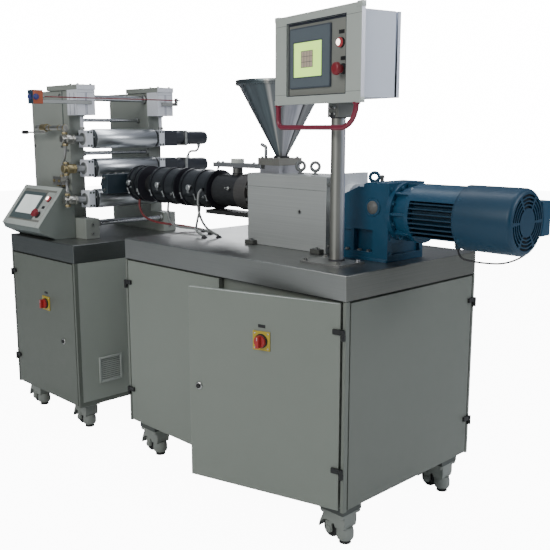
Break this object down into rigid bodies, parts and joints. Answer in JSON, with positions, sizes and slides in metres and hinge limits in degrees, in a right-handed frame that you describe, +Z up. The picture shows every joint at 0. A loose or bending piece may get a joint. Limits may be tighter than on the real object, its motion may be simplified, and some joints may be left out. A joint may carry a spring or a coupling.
{
  "type": "cast film machine",
  "caption": "Laboratory cast film line: an extruder with hopper, motor and swivelling control panel on a steel cabinet, feeding a chill roll stand on a second cabinet.",
  "frame": {"origin": "the middle of the machine's outline on the floor", "axes": "+X along the line towards the drive motor, +Y away from the doors, +Z up"},
  "size_m": [2.405, 0.9752, 1.66],
  "materials": {
    "cabinet_paint": "powder coat",
    "stainless": "brushed",
    "black_plastic": "satin",
    "yellow_plastic": "satin",
    "red_plastic": "gloss",
    "dark_steel": "satin",
    "blue_paint": "semi-gloss enamel",
    "heater_black": "satin",
    "cable_rubber": "matt",
    "pale_paint": "satin paint",
    "handle_red": "gloss",
    "chrome": "mirror chrome",
    "brass": "nickel plated"
  },
  "bodies": {
    "line": {"extruder_frame": "cabinet_paint", "extruder_walls": "cabinet_paint", "extruder_table": "stainless", "hinge_brackets": "black_plastic", "feed_housing": "cabinet_paint", "lifting_eyes": "dark_steel", "gearbox": "blue_paint", "motor_body": "blue_paint", "fan_cover": "blue_paint", "terminal_box": "blue_paint", "motor_cable": "cable_rubber", "barrel": "dark_steel", "heater_bands": "heater_black", "cable_grommets": "black_plastic", "heater_cables": "cable_rubber", "die": "heater_black", "hopper": "stainless", "hopper_base": "stainless", "drain_tube": "stainless", "panel_post": "stainless", "roll_frame": "cabinet_paint", "roll_walls": "cabinet_paint", "roll_table": "stainless", "vent_grille": "dark_steel", "side_frames": "cabinet_paint", "tie_bars": "stainless", "bearing_blocks": "pale_paint", "servo_motors": "black_plastic", "servo_cable": "cable_rubber", "rotary_unions": "brass", "water_fittings": "brass", "cooling_hoses": "cable_rubber", "air_cylinders": "pale_paint", "pull_rope_switch": "red_plastic", "pull_rope": "red_plastic", "console_body": "cabinet_paint", "console_controls": "red_plastic", "casters": "pale_paint", "caster_wheels": "black_plastic", "levelling_feet": "black_plastic", "caster_spacers": "black_plastic"},
    "left_door": {"left_door": "cabinet_paint"},
    "right_door": {"right_door": "cabinet_paint", "extruder_switch_plate": "yellow_plastic", "right_door_lock": "black_plastic"},
    "end_door": {"end_door": "cabinet_paint"},
    "roll_door": {"roll_door": "cabinet_paint", "roll_switch_plate": "yellow_plastic", "roll_door_lock": "black_plastic"},
    "extruder_switch_knob": {"extruder_switch_knob": "red_plastic"},
    "roll_switch_knob": {"roll_switch_knob": "red_plastic"},
    "control_panel": {"panel_case": "pale_paint", "panel_front": "pale_paint", "panel_controls": "red_plastic", "grab_handle": "handle_red"},
    "upper_roll": {"upper_roll": "chrome"},
    "middle_roll": {"middle_roll": "chrome"},
    "lower_roll": {"lower_roll": "chrome"}
  },
  "joints": [
    {"name": "left_door_hinge", "type": "hinge", "parent": "line", "child": "left_door", "pos_m": [-0.3115, -0.33836, 0.48], "axis": [0, 0, -1], "range_deg": [0, 110]},
    {"name": "right_door_hinge", "type": "hinge", "parent": "line", "child": "right_door", "pos_m": [0.8215, -0.33836, 0.48], "axis": [0, 0, 1], "range_deg": [-16, 94]},
    {"name": "end_door_hinge", "type": "hinge", "parent": "line", "child": "end_door", "pos_m": [0.8335, 0.35364, 0.48], "axis": [0, 0, 1], "range_deg": [0, 110]},
    {"name": "roll_door_hinge", "type": "hinge", "parent": "line", "child": "roll_door", "pos_m": [-1.1965, -0.37836, 0.43], "axis": [0, 0, -1], "range_deg": [0, 110]},
    {"name": "extruder_switch_turn", "type": "hinge", "parent": "right_door", "child": "extruder_switch_knob", "pos_m": [0.54877, -0.41032, 0.653], "axis": [0.2756, -0.9613, 0], "range_deg": [0, 90]},
    {"name": "roll_switch_turn", "type": "hinge", "parent": "roll_door", "child": "roll_switch_knob", "pos_m": [-0.8935, -0.37236, 0.542], "axis": [0, -1, 0], "range_deg": [0, 90]},
    {"name": "panel_swivel", "type": "hinge", "parent": "line", "child": "control_panel", "pos_m": [0.6395, -0.16436, 1.384], "axis": [0, 0, 1], "range_deg": [-60, 60]},
    {"name": "upper_roll_spin", "type": "hinge", "parent": "line", "child": "upper_roll", "pos_m": [-0.8225, 0.01364, 1.264], "axis": [0, 1, 0], "continuous": true},
    {"name": "middle_roll_spin", "type": "hinge", "parent": "line", "child": "middle_roll", "pos_m": [-0.8225, 0.01364, 1.136], "axis": [0, 1, 0], "continuous": true},
    {"name": "lower_roll_spin", "type": "hinge", "parent": "line", "child": "lower_roll", "pos_m": [-0.8225, 0.01364, 1], "axis": [0, 1, 0], "continuous": true}
  ]
}
